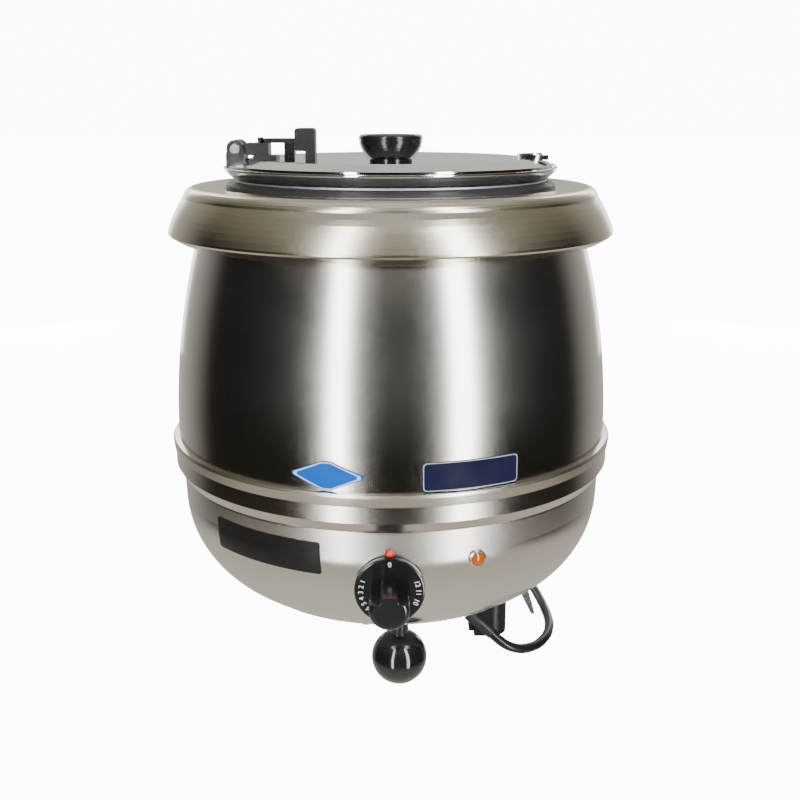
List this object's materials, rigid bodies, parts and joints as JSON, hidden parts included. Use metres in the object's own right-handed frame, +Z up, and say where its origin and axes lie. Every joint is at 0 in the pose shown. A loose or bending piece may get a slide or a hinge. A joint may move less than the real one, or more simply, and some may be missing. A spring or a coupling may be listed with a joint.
{
  "type": "soup kettle",
  "caption": "Round electric soup kettle in brushed steel on ball feet, with a hinged lid, a lift-out pot and a front control knob.",
  "frame": {"origin": "on the table, below the middle of the whole object without its cord", "axes": "+Z up; the control knob faces -Y; the lid's hinge is at -X"},
  "size_m": [0.3494, 0.4086, 0.4107],
  "materials": {
    "brushed_steel": "fine brushing round the axis, satin",
    "polished_steel": "polished",
    "plain_steel": "plain satin",
    "bright_steel": "bright plated",
    "ball_foot": "glossy",
    "black_gloss": "glossy",
    "black_plastic": "satin moulded",
    "black_rubber": "satin",
    "cord_rubber": "satin sheath",
    "grey_plastic": "matt",
    "aluminium": "cast",
    "brass": "plain",
    "insulation": "mineral felt",
    "red_plastic": "glossy",
    "amber_lens": "translucent moulding",
    "blue_badge": "printed label",
    "navy_badge": "printed label",
    "black_plate": "matt print",
    "red_wire": "sheath",
    "blue_wire": "sheath"
  },
  "bodies": {
    "housing": {"barrel": "brushed_steel", "trim_band": "brushed_steel", "bowl": "brushed_steel", "top_flange": "brushed_steel", "opening_seal": "black_rubber", "water_pan": "plain_steel", "heater_plate": "aluminium", "heating_element": "plain_steel", "element_terminals": "brass", "insulation": "insulation", "base_plate": "plain_steel", "base_screws": "bright_steel", "foot_front": "ball_foot", "foot_left": "ball_foot", "foot_right": "ball_foot", "foot_screws": "bright_steel", "thermostat": "grey_plastic", "thermostat_nut": "brass", "sensor_bulb": "brass", "capillary": "brass", "index_marker": "red_plastic", "lamp_bezel": "bright_steel", "lamp_lens": "amber_lens", "lamp_body": "grey_plastic", "badge_diamond": "blue_badge", "badge_oblong": "navy_badge", "notice_plate": "black_plate", "terminal_block": "grey_plastic", "element_wire": "red_wire", "thermostat_wire": "blue_wire", "cord_gland": "black_plastic", "strain_relief": "black_rubber", "cord_hook": "grey_plastic", "cord_lead": "cord_rubber", "cord_coil": "cord_rubber", "cord_end": "cord_rubber", "plug": "black_plastic", "plug_pins": "brass"},
    "dial": {"control_knob": "black_gloss", "control_shaft": "bright_steel"},
    "pot": {"inner_pot": "plain_steel"},
    "ring": {"lid_ring": "polished_steel", "hinge_bracket": "polished_steel", "hinge_pin": "bright_steel", "bracket_rivets": "bright_steel"},
    "lid": {"lid": "polished_steel", "lid_knob": "black_gloss", "lid_knob_screw": "bright_steel", "hinge_block": "black_plastic", "hinge_arm": "black_plastic", "hinge_strap": "polished_steel", "lid_bumper": "black_plastic"}
  },
  "joints": [
    {"name": "control_turn", "type": "hinge", "parent": "housing", "child": "dial", "pos_m": [0, 0.01465, 0.1087], "axis": [0, 1, 0], "range_deg": [0, 285]},
    {"name": "pot_lift", "type": "slide", "parent": "housing", "child": "pot", "axis": [0, 0, 1], "range_m": [0, 0.27]},
    {"name": "ring_lift", "type": "slide", "parent": "pot", "child": "ring", "axis": [0, 0, 1], "range_m": [0, 0.03]},
    {"name": "lid_hinge", "type": "hinge", "parent": "ring", "child": "lid", "pos_m": [-0.1171, 0.01465, 0.3957], "axis": [0, -1, 0], "range_deg": [0, 100]}
  ]
}
